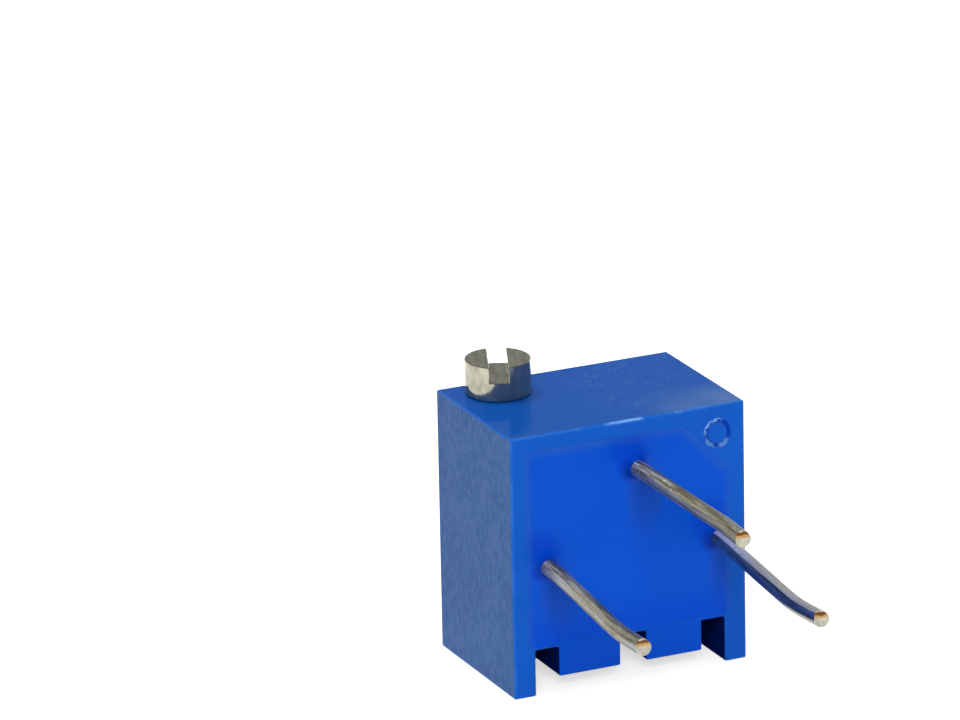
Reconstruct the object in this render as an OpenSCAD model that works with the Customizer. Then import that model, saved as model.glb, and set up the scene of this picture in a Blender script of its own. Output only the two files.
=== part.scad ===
// Square multi-turn trimmer potentiometer with three wire leads on one side.
// Millimetres. Z is up from the feet, the leads point to -Y, the screw is on top.

/* [Housing] */
// width of the housing
body_w = 7.00; // [6.80:0.05:7.40]
// depth of the housing, from the lead face to the closed face
body_d = 4.75; // [4.65:0.05:5.20]
// height of the housing above the feet
body_h = 7.00; // [6.90:0.05:7.40]
// height of the foot rails
foot_h = 0.45; // [0.25:0.05:0.60]
// width of each foot rail
foot_w = 0.65; // [0.50:0.05:0.75]
// width of the rim around the potted recess
rim_w = 0.47; // [0.40:0.01:0.52]
// thickness of the closed wall behind the wheel
back_wall = 0.45; // [0.40:0.01:0.50]
// legs of the triangular corner of the recess
corner_leg = 1.36; // [1.20:0.02:1.60]
// outer radius of the ring mark
mark_r = 0.40; // [0.30:0.02:0.44]
// width of the ring mark's groove
mark_w = 0.12; // [0.08:0.01:0.14]
// depth of the ring mark's groove
mark_depth = 0.06; // [0.04:0.01:0.10]

/* [Notches] */
// width of the two outer notches
notch_w = 0.70; // [0.60:0.02:0.80]
// width of the middle notch
mid_notch_w = 0.78; // [0.60:0.02:0.90]
// middle notch's distance to the right of the centre
mid_notch_x = 0.08; // [0.00:0.02:0.20]
// height of the notches above the housing's underside
notch_h = 0.86; // [0.70:0.02:0.90]
// depth of the notches from the lead face
notch_d = 1.50; // [1.20:0.05:1.60]
// wall between the notches and the recess
notch_web = 0.12; // [0.10:0.01:0.16]

/* [Potting] */
// how far the potting stays below the rim
potting_drop = 0.05; // [0.03:0.01:0.12]

/* [Leads] */
// diameter of the lead wire
lead_d = 0.45; // [0.40:0.01:0.50]
// distance of the two outer leads from the sides of the recess, before the row is shifted
lead_in = 0.49; // [0.47:0.01:0.53]
// shift of the whole row of leads to the right
lead_shift = 0.04; // [0.00:0.01:0.06]
// extra shift of the middle lead
mid_lead_shift = 0.10; // [0.00:0.01:0.12]
// height of the two outer leads above the housing's underside
lead_z = 3.24; // [3.15:0.01:3.35]
// distance of the middle lead below the top of the recess
mid_lead_drop = 0.84; // [0.76:0.01:0.94]
// reach of the middle lead from the lead face
lead_reach = 6.60; // [4.00:0.10:12.00]
// how much less far the left lead reaches
ccw_short = 0.62; // [0.00:0.02:0.90]
// how much less far the right lead reaches
cw_short = 0.28; // [0.00:0.02:0.90]
// inside bend radius of the bent leads, to the wire's axis
bend_r = 8.00; // [2.00:0.50:9.00]
// straight end of each lead
lead_tail = 0.85; // [0.50:0.05:1.20]
// bevel around the cut end of a lead
lead_bevel = 0.05; // [0.03:0.01:0.08]

/* [Element] */
// thickness of the substrate
substrate_t = 0.64; // [0.60:0.01:0.66]
// gap around the substrate in the recess
substrate_gap = 0.03; // [0.02:0.01:0.05]
// thickness of the printed films
film_t = 0.03; // [0.02:0.01:0.04]
// distance of the track's middle inside the wheel's pitch circle
track_in = 0.50; // [0.48:0.01:0.55]
// width of the resistive track
track_w = 0.50; // [0.44:0.02:0.54]
// gap between the collector ring and the track
print_gap = 0.30; // [0.26:0.01:0.32]
// width of the collector ring
ring_w = 0.40; // [0.34:0.02:0.42]
// width of the printed conductors
strip_w = 0.40; // [0.30:0.02:0.44]
// radius of the filled vias
via_r = 0.14; // [0.12:0.01:0.15]

/* [Screw] */
// distance of the screw's axis from the left side
screw_in_x = 1.395; // [1.37:0.005:1.42]
// distance of the screw's axis from the closed face
screw_in_y = 1.005; // [0.995:0.005:1.03]
// diameter of the screw's head
head_d = 1.81; // [1.70:0.01:1.90]
// height of the head
head_h = 0.96; // [0.80:0.02:1.10]
// gap under the head
head_gap = 0.03; // [0.02:0.01:0.05]
// width of the slot in the head
slot_w = 0.53; // [0.44:0.01:0.56]
// depth of the slot in the head
slot_depth = 0.44; // [0.36:0.02:0.50]
// direction of the slot, turned from the depth axis towards the right
slot_turn = 22.6; // [0:0.2:90]
// diameter of the shank in the bore
shank_d = 1.20; // [1.18:0.01:1.22]
// radial clearance of the shank in the bore
shank_gap = 0.06; // [0.04:0.01:0.08]
// diameter of the neck under the clip and in the seal groove
neck_d = 0.70; // [0.66:0.01:0.74]
// diameter of the tail pivot
tail_d = 0.56; // [0.50:0.01:0.58]
// radial clearance of the tail pivot and the clip
pivot_gap = 0.03; // [0.02:0.01:0.05]

/* [Worm drive] */
// number of teeth of the wheel
teeth = 15; // [15:1:16]
// wall between the wheel's room and the right side of the housing
room_wall = 0.71; // [0.66:0.01:0.74]
// clearance around the toothed disc in its room
room_gap = 0.12; // [0.10:0.01:0.14]
// distance from the substrate to the wiper's plate
wiper_room = 0.505; // [0.490:0.005:0.520]
// pitch radius of the worm
worm_r = 0.45; // [0.44:0.01:0.46]
// height of thread and teeth above the pitch line
addendum = 0.125; // [0.11:0.005:0.13]
// clearance between a tip and the root it faces
tip_gap = 0.025; // [0.02:0.005:0.035]
// total play between the flanks
backlash = 0.05; // [0.04:0.01:0.08]
// thickness of the toothed disc
wheel_t = 0.68; // [0.60:0.02:0.70]
// radius of the wheel's bore
wheel_bore_r = 0.58; // [0.56:0.01:0.59]
// radial clearance of the wheel on its boss
wheel_gap = 0.03; // [0.02:0.01:0.05]
// length of the worm thread
worm_len = 2.80; // [2.40:0.10:2.90]

/* [Hidden] */
body_r = body_w / 2;
top_z = foot_h + body_h;
tilt1 = [6.0, -0.8, 5.1];
tilt2 = [-8.5, 4.0, -8.7];
lead_r = lead_d / 2;
reach = [lead_reach - ccw_short, lead_reach, lead_reach - cw_short];
lead_root = 0.30;
tip_edge = (lead_r - lead_bevel) * sin(abs(tilt1[1] + tilt2[1]));
// the lead face, placed so that the whole part is centred on the origin
face_y = (lead_reach + tip_edge - body_d) / 2;
end_y = face_y + body_d;
floor_z = foot_h + notch_h + notch_web;
recess_r = body_r - rim_w;
recess_top = top_z - rim_w;
lead_pitch = recess_r - lead_in;
lead_x = [lead_shift - lead_pitch, lead_shift + mid_lead_shift, lead_shift + lead_pitch];
low_lead_z = foot_h + lead_z;
lead_zs = [low_lead_z, recess_top - mid_lead_drop, low_lead_z];
room_y = end_y - back_wall;
screw_x = -body_r + screw_in_x;
screw_y = end_y - screw_in_y;
shank_r = shank_d / 2;
bore_r = shank_r + shank_gap;
neck_r = neck_d / 2;
tail_r = tail_d / 2;
head_r = head_d / 2;
head_z = top_z + head_gap;
// the wheel fills the width between the worm and the wall of its room
wheel_r = (body_r - room_wall - room_gap - addendum - screw_x - worm_r) / 2;
wheel_x = screw_x + worm_r + wheel_r;
wheel_z = foot_h + body_h / 2 - 0.05;
pitch = 2 * PI * wheel_r / teeth;
lead_angle = atan(pitch / (2 * PI * worm_r));
worm_tip = worm_r + addendum;
worm_root = worm_r - addendum - tip_gap;
core_r = worm_root - 0.02;
wheel_tip = wheel_r + addendum;
wheel_root = wheel_r - addendum - tip_gap;
base_r = wheel_r * cos(20);
room_r = wheel_tip + room_gap;
disc_y0 = screw_y - wheel_t / 2;
disc_y1 = screw_y + wheel_t / 2;
hub_y0 = disc_y0 - 0.40;
hub_y1 = room_y - 0.03;
hub_r = wheel_r - 0.30;
back_hub_r = wheel_bore_r + 0.32;
boss_r = wheel_bore_r - wheel_gap;
stop_r0 = back_hub_r + 0.30;
stop_r1 = wheel_r - 0.40;
lug_half = 15;
rib_half = 19;
worm_z0 = wheel_z - worm_len / 2;
worm_z1 = wheel_z + worm_len / 2;
tail_z = worm_z0 - 1.35;
channel_z = worm_z0 - 0.70;
clip_t = 0.20;
clip_z = top_z - 1.35;
clip_r = neck_r + 0.40;
groove_z = top_z - 0.83;
groove_w = 0.36;
oring_r = (neck_r + bore_r) / 2;
oring_cs = (bore_r - neck_r) / 2 - 0.01;
land_r = min(0.50, recess_r - lead_x[2] - 0.03);
hole_r = lead_r + 0.05;
track_r = wheel_r - track_in;
ring_r = track_r - track_w / 2 - print_gap - ring_w / 2;
track_half = 142;
pad_span = 25;
via_turn = 156;
plate_t = 0.10;
plate_y = hub_y0 - plate_t;
plate_r = wheel_r - 0.32;
stake_r = 0.13;
stake_in = 0.68;
// the substrate lies in front of the wiper, and the potting fills the rest of the recess
ledge_y = plate_y - wiper_room;
print_y = ledge_y - substrate_t;
film_top = ledge_y + film_t;
contact_r = 0.07;
contact_y = film_top + 0.01 + contact_r;
finger_turn = 16.3;
finger_x = track_r * sin(finger_turn);
finger_z = track_r * cos(finger_turn);
round = 64;

// a flat shape drawn in X and Z, raised from y0 to y1
module slab(y0, y1) {
  translate([0, y1, 0])
    rotate([90, 0, 0])
      linear_extrude(height = y1 - y0)
        children();
}

// a round bar along Y at x, z
module bar(x, z, r, y0, y1) {
  translate([x, y1, z])
    rotate([90, 0, 0])
      cylinder(r = r, h = y1 - y0, $fn = round);
}

// a box between two corners
module block(a, b) {
  translate(a)
    cube(b - a);
}

// a ring segment around the wheel's axis, from r0 to r1 and y0 to y1
module sector(from, span, r0, r1, y0, y1) {
  translate([wheel_x, y1, wheel_z])
    rotate([90, 0, 0])
      rotate([0, 0, from])
        rotate_extrude(angle = span, $fn = round)
          translate([r0, 0])
            square([r1 - r0, y1 - y0]);
}

// the recess seen from the lead side, drawn in by a gap
module recess_outline(gap) {
  k = gap * (sqrt(2) - 1);
  r = recess_r - gap;
  polygon([
    [-r, floor_z + gap],
    [r, floor_z + gap],
    [r, recess_top - corner_leg - k],
    [recess_r - corner_leg - k, recess_top - gap],
    [-r, recess_top - gap]]);
}

module notch(x, w) {
  block([x - w / 2, face_y - 1, foot_h - 1], [x + w / 2, face_y + notch_d, foot_h + notch_h]);
}

module housing() {
  color([0.05, 0.27, 0.72])
    difference() {
      union() {
        difference() {
          union() {
            block([-body_r, face_y, foot_h], [body_r, end_y, top_z]);
            for (side = [0, 1])
              translate([side * (body_w - foot_w), 0, 0])
                block([-body_r, face_y, 0], [foot_w - body_r, end_y, foot_h + 0.1]);
          }
          slab(face_y - 1, ledge_y)
            recess_outline(0);
          bar(wheel_x, wheel_z, room_r, ledge_y - 0.1, room_y);
        }
        bar(wheel_x, wheel_z, boss_r, hub_y0 + 0.10, room_y + 0.1);
        sector(270 - rib_half, 2 * rib_half, stop_r0, stop_r1, disc_y1 + 0.03, room_y + 0.1);
      }
      translate([screw_x, screw_y, channel_z])
        cylinder(r = bore_r, h = top_z - channel_z + 1, $fn = round);
      translate([screw_x, screw_y, tail_z - 0.05])
        cylinder(r = tail_r + pivot_gap, h = 1, $fn = round);
      block([screw_x - clip_r - 0.02, ledge_y - 0.1, clip_z - 0.01],
            [screw_x + clip_r + 0.02, screw_y + 0.66, clip_z + clip_t + 0.01]);
      notch(-body_r + foot_w + notch_w / 2, notch_w);
      notch(mid_notch_x, mid_notch_w);
      notch(body_r - foot_w - notch_w / 2, notch_w);
      slab(face_y - 1, face_y + mark_depth)
        translate([recess_r - corner_leg / 4, recess_top - corner_leg / 4])
          difference() {
            circle(r = mark_r, $fn = round);
            circle(r = mark_r - mark_w, $fn = round);
          }
    }
}

module potting_seal() {
  color([0.03, 0.28, 0.80])
    difference() {
      slab(face_y + potting_drop, print_y)
        recess_outline(0);
      for (i = [0, 1, 2]) {
        bar(lead_x[i], lead_zs[i], lead_r, face_y - 1, print_y + 1);
        fillet_body(i);
        conductor_print(i);
      }
    }
}

module substrate() {
  color([0.93, 0.92, 0.88])
    difference() {
      slab(print_y, ledge_y)
        recess_outline(substrate_gap);
      for (i = [0, 1, 2]) {
        bar(lead_x[i], lead_zs[i], hole_r, print_y - 1, ledge_y + 1);
        bar(via_x(i), via_z(i), via_r, print_y - 1, ledge_y + 1);
      }
    }
}

module resistive_track() {
  color([0.10, 0.10, 0.11])
    sector(90 - track_half, 2 * track_half, track_r - track_w / 2, track_r + track_w / 2,
           ledge_y, film_top);
}

module collector_ring() {
  color([0.75, 0.72, 0.66])
    difference() {
      bar(wheel_x, wheel_z, ring_r + ring_w / 2, ledge_y, film_top);
      bar(wheel_x, wheel_z, ring_r - ring_w / 2, ledge_y - 1, film_top + 1);
    }
}

module end_pad(from) {
  color([0.75, 0.72, 0.66])
    sector(from, pad_span, track_r - track_w / 2, track_r + track_w / 2, ledge_y, film_top);
}

module end_pad_ccw() {
  end_pad(90 + track_half);
}

module end_pad_cw() {
  end_pad(90 - track_half - pad_span);
}

// where each conductor passes through the substrate
function via_x(i) = wheel_x + (i - 1) * track_r * sin(via_turn);
function via_z(i) = i == 1 ? wheel_z + ring_r : wheel_z + track_r * cos(via_turn);

// an upright or level strip between two points on the lead side of the substrate
module strip(x0, z0, x1, z1) {
  h = strip_w / 2;
  slab(print_y - film_t, print_y)
    translate([min(x0, x1) - h, min(z0, z1) - h])
      square([abs(x1 - x0) + strip_w, abs(z1 - z0) + strip_w]);
}

module conductor_print(i) {
  vx = via_x(i);
  vz = via_z(i);
  difference() {
    union() {
      if (i == 1) {
        strip(vx, vz, vx, lead_zs[i]);
        strip(vx, lead_zs[i], lead_x[i], lead_zs[i]);
      } else {
        strip(vx, vz, lead_x[i], vz);
        strip(lead_x[i], vz, lead_x[i], lead_zs[i]);
      }
      bar(lead_x[i], lead_zs[i], land_r, print_y - film_t, print_y);
      bar(vx, vz, via_r, print_y - film_t, ledge_y);
    }
    bar(lead_x[i], lead_zs[i], hole_r, print_y - 1, ledge_y + 1);
  }
}

module conductor(i) {
  color([0.80, 0.78, 0.74])
    conductor_print(i);
}

module conductor_ccw() {
  conductor(0);
}

module conductor_wiper() {
  conductor(1);
}

module conductor_cw() {
  conductor(2);
}

// the solder of a lead: a sleeve in the hole and a cone on the land
module fillet_body(i) {
  translate([lead_x[i], ledge_y - 0.02, lead_zs[i]])
    rotate([90, 0, 0]) {
      cylinder(r = hole_r, h = substrate_t + film_t - 0.02, $fn = round);
      translate([0, 0, substrate_t + film_t - 0.02])
        cylinder(r1 = land_r - 0.04, r2 = lead_r + 0.02, h = 0.34, $fn = round);
    }
}

module solder(i) {
  color([0.78, 0.79, 0.80])
    difference() {
      fillet_body(i);
      bar(lead_x[i], lead_zs[i], lead_r, print_y - 1, ledge_y + 1);
    }
}

module solder_ccw() {
  solder(0);
}

module solder_wiper() {
  solder(1);
}

module solder_cw() {
  solder(2);
}

// one bend of a wire that comes in along Z: down for a positive angle; children go on from its end
module bend(angle) {
  lap = 0.15;
  turn = abs(angle);
  up = angle < 0 ? 1 : 0;
  mirror([0, up, 0])
    translate([0, -bend_r, 0])
      rotate([90, 0, 90])
        rotate([0, 0, -lap])
          rotate_extrude(angle = turn + 2 * lap, $fn = round)
            translate([bend_r, 0])
              circle(r = lead_r + 0.002, $fn = 32);
  translate([0, (2 * up - 1) * bend_r * (1 - cos(turn)), bend_r * sin(turn)])
    rotate([angle, 0, 0])
      children();
}

// straight length between the two bends that gives lead i its reach
function mid_len(i) =
  let (a = tilt1[i], b = tilt2[i], s = b < 0 ? 1 : -1)
  (reach[i] - lead_root - bend_r * sin(abs(a)) - bend_r * sin(abs(b)) * cos(a)
    - s * bend_r * (1 - cos(b)) * sin(a) - lead_tail * cos(a + b)) / cos(a);

module lead(i) {
  inner = ledge_y - face_y - 0.02;
  color([0.72, 0.70, 0.62])
    translate([lead_x[i], face_y, lead_zs[i]])
      rotate([90, 0, 0]) {
        translate([0, 0, -inner])
          cylinder(r = lead_r, h = inner + lead_root, $fn = 32);
        translate([0, 0, lead_root])
          bend(tilt1[i]) {
            cylinder(r = lead_r, h = mid_len(i), $fn = 32);
            translate([0, 0, mid_len(i)])
              bend(tilt2[i]) {
                cylinder(r = lead_r, h = lead_tail - lead_bevel, $fn = 32);
                translate([0, 0, lead_tail - lead_bevel])
                  cylinder(r1 = lead_r, r2 = lead_r - lead_bevel, h = lead_bevel, $fn = 32);
              }
          }
      }
}

module lead_ccw() {
  lead(0);
}

module lead_wiper() {
  lead(1);
}

module lead_cw() {
  lead(2);
}

// radius of the worm's cross-section at an angle from the thread's middle
function worm_section(angle) =
  let (a = abs(angle), slope = tan(20),
       tip = 360 / pitch * (pitch / 4 - backlash / 4 - addendum * slope),
       root = 360 / pitch * (pitch / 4 - backlash / 4 + (worm_r - worm_root) * slope))
  a < tip ? worm_tip : a > root ? worm_root
    : worm_tip - (a - tip) / (root - tip) * (worm_tip - worm_root);

module worm() {
  steps = 24;
  turned = 180 - 360 * (wheel_z - worm_z0) / pitch;
  translate([0, 0, worm_z0])
    rotate([0, 0, turned])
      linear_extrude(height = worm_len, twist = -360 * worm_len / pitch,
                     slices = ceil(12 * worm_len / pitch))
        polygon([for (k = [0 : steps - 1])
          let (a = k * 360 / steps - 180)
          worm_section(a) * [cos(a), sin(a)]]);
}

module adjustment_screw() {
  color([0.74, 0.73, 0.66])
    translate([screw_x, screw_y, 0]) {
      difference() {
        rotate_extrude($fn = round)
          polygon([
            [0, worm_z1 - 0.05],
            [core_r, worm_z1 - 0.05],
            [core_r, worm_z1 + 0.10],
            [shank_r, worm_z1 + 0.10],
            [shank_r, clip_z - 0.05],
            [neck_r, clip_z - 0.05],
            [neck_r, clip_z + clip_t + 0.05],
            [shank_r, clip_z + clip_t + 0.05],
            [shank_r, groove_z],
            [neck_r, groove_z],
            [neck_r, groove_z + groove_w],
            [shank_r, groove_z + groove_w],
            [shank_r, head_z],
            [head_r - 0.03, head_z],
            [head_r, head_z + 0.03],
            [head_r, head_z + head_h - 0.05],
            [head_r - 0.05, head_z + head_h],
            [0, head_z + head_h]]);
        rotate([0, 0, -slot_turn])
          block([-slot_w / 2, -head_d, head_z + head_h - slot_depth],
                [slot_w / 2, head_d, head_z + head_h + 1]);
      }
      worm();
      translate([0, 0, worm_z0 - 0.65])
        cylinder(r = core_r, h = 0.70, $fn = round);
      translate([0, 0, tail_z])
        cylinder(r = tail_r, h = worm_z0 - tail_z, $fn = round);
    }
}

module screw_o_ring() {
  color([0.16, 0.14, 0.13])
    translate([screw_x, screw_y, groove_z + groove_w / 2])
      rotate_extrude($fn = round)
        translate([oring_r, 0])
          circle(r = oring_cs, $fn = 32);
}

module screw_retaining_clip() {
  r = neck_r + pivot_gap;
  color([0.62, 0.63, 0.65])
    translate([screw_x, 0, clip_z])
      linear_extrude(height = clip_t)
        difference() {
          translate([-clip_r, ledge_y + 0.02])
            square([2 * clip_r, screw_y + 0.60 - ledge_y]);
          translate([0, screw_y])
            circle(r = r, $fn = round);
          translate([-r, screw_y])
            square([2 * r, 2 * clip_r]);
        }
}

// half thickness of a wheel tooth at radius r, square to the tooth's length
function tooth_half(r) =
  let (a0 = tan(20) * 180 / PI - 20,
       c = max(r, base_r),
       al = acos(base_r / c),
       a1 = tan(al) * 180 / PI - al,
       half = (pitch / 2 - backlash / 2) / (2 * wheel_r) * 180 / PI)
  r * sin(half + a0 - a1) * cos(lead_angle);

module tooth() {
  rs = [wheel_root - 0.10, base_r, wheel_r, (wheel_r + wheel_tip) / 2, wheel_tip + 0.02];
  n = len(rs);
  rotate([lead_angle, 0, 0])
    translate([0, wheel_t, 0])
      rotate([90, 0, 0])
        linear_extrude(height = 2 * wheel_t)
          polygon(concat(
            [for (r = rs) [-r, tooth_half(r)]],
            [for (k = [0 : n - 1]) [-rs[n - 1 - k], -tooth_half(rs[n - 1 - k])]]));
}

module worm_wheel() {
  color([0.86, 0.86, 0.82]) {
    difference() {
      union() {
        intersection() {
          translate([wheel_x, screw_y, wheel_z])
            for (k = [0 : teeth - 1])
              rotate([0, k * 360 / teeth, 0])
                tooth();
          bar(wheel_x, wheel_z, wheel_tip, disc_y0, disc_y1);
        }
        bar(wheel_x, wheel_z, wheel_root, disc_y0, disc_y1);
        bar(wheel_x, wheel_z, hub_r, hub_y0, disc_y0 + 0.1);
        bar(wheel_x, wheel_z, back_hub_r, disc_y1 - 0.1, hub_y1);
        sector(90 - lug_half, 2 * lug_half, stop_r0, stop_r1, disc_y1 - 0.1, hub_y1);
        stakes(stake_r, plate_y - 0.06);
      }
      bar(wheel_x, wheel_z, wheel_bore_r, hub_y0 - 1, hub_y1 + 1);
    }
  }
}

// the two stakes that hold the wiper on the wheel
module stakes(r, y0) {
  for (a = [205, 335])
    translate([(wheel_r - stake_in) * cos(a), 0, (wheel_r - stake_in) * sin(a)])
      bar(wheel_x, wheel_z, r, y0, hub_y0 + 0.1);
}

// a spring finger from the plate down to its round contact, along x at height z
module finger(x0, x1, z, w) {
  y0 = plate_y + 0.05;
  run = x1 - x0;
  drop = y0 - contact_y;
  long = sqrt(run * run + drop * drop);
  translate([x0, y0, z - w / 2])
    rotate([0, 0, -atan2(drop, run)])
      translate([-0.03, -0.03, 0])
        cube([long + 0.03, 0.06, w]);
  translate([x1, contact_y, z - w / 2 - 0.01])
    cylinder(r = contact_r, h = w + 0.02, $fn = 24);
}

module wiper() {
  color([0.83, 0.66, 0.35])
    difference() {
      translate([wheel_x, 0, wheel_z])
        rotate([0, -finger_turn, 0]) {
          slab(plate_y, hub_y0)
            difference() {
              circle(r = plate_r, $fn = round);
              circle(r = ring_r - 0.23, $fn = round);
              translate([-0.52, finger_z - 0.18])
                square([finger_x + 0.67, plate_r]);
              translate([-0.40, -ring_r - 0.27])
                square([1.10, 0.70]);
            }
          for (k = [-1, 0, 1])
            finger(-0.54, finger_x, finger_z + 0.10 * k, 0.07);
          for (k = [-1, 1])
            finger(-0.42, 0.30, -ring_r + 0.08 * k, 0.10);
        }
      stakes(stake_r + 0.02, plate_y - plate_t);
    }
}

housing();
potting_seal();
substrate();
resistive_track();
collector_ring();
end_pad_ccw();
end_pad_cw();
conductor_ccw();
conductor_wiper();
conductor_cw();
lead_ccw();
lead_wiper();
lead_cw();
solder_ccw();
solder_wiper();
solder_cw();
adjustment_screw();
screw_o_ring();
screw_retaining_clip();
worm_wheel();
wiper();
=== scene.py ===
"""Square multi-turn trimmer potentiometer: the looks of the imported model.

Lengths below are millimetres, and MM turns them into the frame's metres.
"""

import math

import bmesh
import bpy
from mathutils import Matrix, Vector


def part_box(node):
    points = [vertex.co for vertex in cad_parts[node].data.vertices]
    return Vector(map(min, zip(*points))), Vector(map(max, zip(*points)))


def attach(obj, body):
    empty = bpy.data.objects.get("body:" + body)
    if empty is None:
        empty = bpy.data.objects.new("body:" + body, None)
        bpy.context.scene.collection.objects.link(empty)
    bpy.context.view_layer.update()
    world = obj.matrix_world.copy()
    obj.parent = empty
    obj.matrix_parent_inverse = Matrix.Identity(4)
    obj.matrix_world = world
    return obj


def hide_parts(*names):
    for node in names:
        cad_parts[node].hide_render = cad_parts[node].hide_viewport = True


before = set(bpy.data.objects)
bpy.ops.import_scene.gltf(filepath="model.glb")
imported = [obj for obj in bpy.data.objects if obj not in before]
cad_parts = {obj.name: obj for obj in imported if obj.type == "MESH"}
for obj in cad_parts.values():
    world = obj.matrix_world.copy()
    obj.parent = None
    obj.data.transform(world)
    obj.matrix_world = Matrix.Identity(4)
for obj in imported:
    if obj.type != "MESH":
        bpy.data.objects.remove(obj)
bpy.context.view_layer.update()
MM = 0.001


# ---------------------------------------------------------------- measures from the frame
def corners(name):
    """Lowest and highest corner of a CAD node, in millimetres."""
    low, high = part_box(name)
    return Vector(low) / MM, Vector(high) / MM


body_low, body_high = corners("housing")
epoxy_low, epoxy_high = corners("potting_seal")
substrate_high = corners("substrate")[1]
screw_low, screw_high = corners("adjustment_screw")
WHEEL_AXIS = sum(corners("collector_ring"), Vector()) / 2
SCREW_AXIS = sum(corners("screw_o_ring"), Vector()) / 2
SCREW_AXIS.z = 0
BODY_MIDDLE = (body_low + body_high) / 2
LEAD_FACE = body_low.y
CLOSED_FACE = body_high.y
TOP = body_high.z
HALF_WIDTH = body_high.x

FOOT_HEIGHT = 0.45
FOOT_WIDTH = 0.65
RIM = 0.47
CORNER_LEG = 1.36
NOTCH_HEIGHT = 0.86
NOTCH_DEPTH = 1.50
NOTCH_WIDTH = 0.70
MIDDLE_NOTCH_WIDTH = 0.78
MIDDLE_NOTCH_X = 0.08
RECESS_HALF = HALF_WIDTH - RIM
RECESS_FLOOR = epoxy_low.z
RECESS_TOP = TOP - RIM
RECESS_DEPTH = substrate_high.y - LEAD_FACE
EPOXY_DROP = 0.05
EPOXY_MARGIN = 0.06
EPOXY_BELOW_FACE = 0.015
WALL_CREEP = 0.045
WALL_FADE = 0.16
LEAD_FADE = 0.12
DIP_DEPTH = 0.012
DIP_AWAY = 0.55
DIP_WIDTH = 0.3
MARK_RADIUS = 0.40
MARK_GROOVE = 0.12
MARK_DEPTH = 0.06
# Pale spots about the ring mark as (x, z, size, strength): painted glints and chips, the strongest
# at the upper left.
MARK_CHIPS_AND_GLINTS = [(-0.22, 0.30, 0.44, 0.95), (0.20, -0.32, 0.22, 0.45), (-0.26, -0.28, 0.24, 0.45)]

LEAD_RADIUS = 0.225
BEND_RADIUS = 8.0
LEAD_ROOT = 0.30
LEAD_TAIL = 0.85
# Ways across a lead along which a highlight is painted: up and to the left on the two dull leads,
# up and to the right on the clean one.
DULL_HIGHLIGHT_WAY = (-math.sin(math.radians(41)), 0, math.cos(math.radians(41)))
CLEAN_HIGHLIGHT_WAY = (math.sin(math.radians(43)), 0, math.cos(math.radians(43)))
SNIP_CREASE = 0.06
SNIP_SLOPE = math.radians(33)
SNIP_BURR = 0.018
LEADS = {
    "ccw": {"x": -2.50, "z": 3.69, "reach": 5.98, "tilt": (6.2, -8.7), "creep": 0.20},
    "wiper": {"x": 0.14, "z": 6.14, "reach": 6.60, "tilt": (-0.3, 3.4), "creep": 0.38},
    "cw": {"x": 2.58, "z": 3.69, "reach": 6.32, "tilt": (6.1, -10.0), "creep": 0.24},
}

HEAD_RADIUS = 0.905
HEAD_BASE = TOP + 0.03
HEAD_TOP = screw_high.z
SLOT_WIDTH = 0.53
SLOT_DEPTH = 0.44
SLOT_TURN = 22.6
SCREW_ROUND = 0.035
SHANK_RADIUS = 0.60
NECK_RADIUS = 0.35
TAIL_RADIUS = 0.28
WORM_MIDDLE = 3.90
WORM_HALF = 1.40
WORM_ROOT = 0.30
WORM_TIP = 0.575
WHEEL_RADIUS = 2.10
WHEEL_TEETH = 15
EDGE_ROUND = 0.055
ROOM_RADIUS = 2.345
BACK_WALL = 0.45
BORE_RADIUS = 0.66
CHANNEL_LOW = 1.80
PIVOT_RADIUS = 0.31
BOSS_RADIUS = 0.55
BOSS_SET_BACK = 0.10
SEAT_ROOT = 0.05
STOP_RIB = {"front": 5.045, "inner": 1.20, "outer": 1.70, "half_angle": 19.0}
NOTCH_TOP = FOOT_HEIGHT + NOTCH_HEIGHT
MARK = Vector((RECESS_HALF - CORNER_LEG / 4, LEAD_FACE, RECESS_TOP - CORNER_LEG / 4))


# ---------------------------------------------------------------- small helpers for meshes
def make_piece(name, bm, materials, body=None, replaces=(), smooth=True):
    """A finished piece: its mesh is scaled from millimetres, and its object stays at the origin."""
    bmesh.ops.dissolve_degenerate(bm, dist=1e-4, edges=bm.edges)
    bmesh.ops.scale(bm, vec=(MM, MM, MM), verts=bm.verts)
    for face in bm.faces:
        face.smooth = smooth
    mesh = bpy.data.meshes.new(name)
    bm.to_mesh(mesh)
    bm.free()
    for material in materials:
        mesh.materials.append(material)
    piece = bpy.data.objects.new(name, mesh)
    bpy.context.collection.objects.link(piece)
    if body:
        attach(piece, body)
    if replaces:
        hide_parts(*replaces)
    return piece


def split_at(bm, axis, *values):
    """Cuts the faces along planes across one axis."""
    normal = Vector([float(number == "XYZ".index(axis)) for number in range(3)])
    for value in values:
        bmesh.ops.bisect_plane(bm, geom=bm.verts[:] + bm.edges[:] + bm.faces[:], dist=1e-5,
                               plane_co=normal * value, plane_no=normal)


def faces_where(bm, test):
    return [face for face in bm.faces if test(face.calc_center_median(), face.normal)]


def extrude_faces(bm, faces, offset):
    grown = bmesh.ops.extrude_face_region(bm, geom=faces)["geom"]
    verts = [item for item in grown if isinstance(item, bmesh.types.BMVert)]
    bmesh.ops.translate(bm, vec=offset, verts=verts)
    bmesh.ops.delete(bm, geom=faces, context="FACES")


def grow_ring(bm, ring):
    """Extrudes the open end of a tube by nothing and returns its new edges and verts."""
    grown = bmesh.ops.extrude_edge_only(bm, edges=ring)["geom"]
    verts = [item for item in grown if isinstance(item, bmesh.types.BMVert)]
    fresh = set(verts)
    edges = [item for item in grown if isinstance(item, bmesh.types.BMEdge)
             and set(item.verts) <= fresh]
    return edges, verts


def outward(bm):
    bmesh.ops.recalc_face_normals(bm, faces=bm.faces)


def cap(bm, edges):
    return bmesh.ops.contextual_create(bm, geom=edges)["faces"]


def open_edges(bm):
    return [edge for edge in bm.edges if edge.is_boundary]


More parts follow.
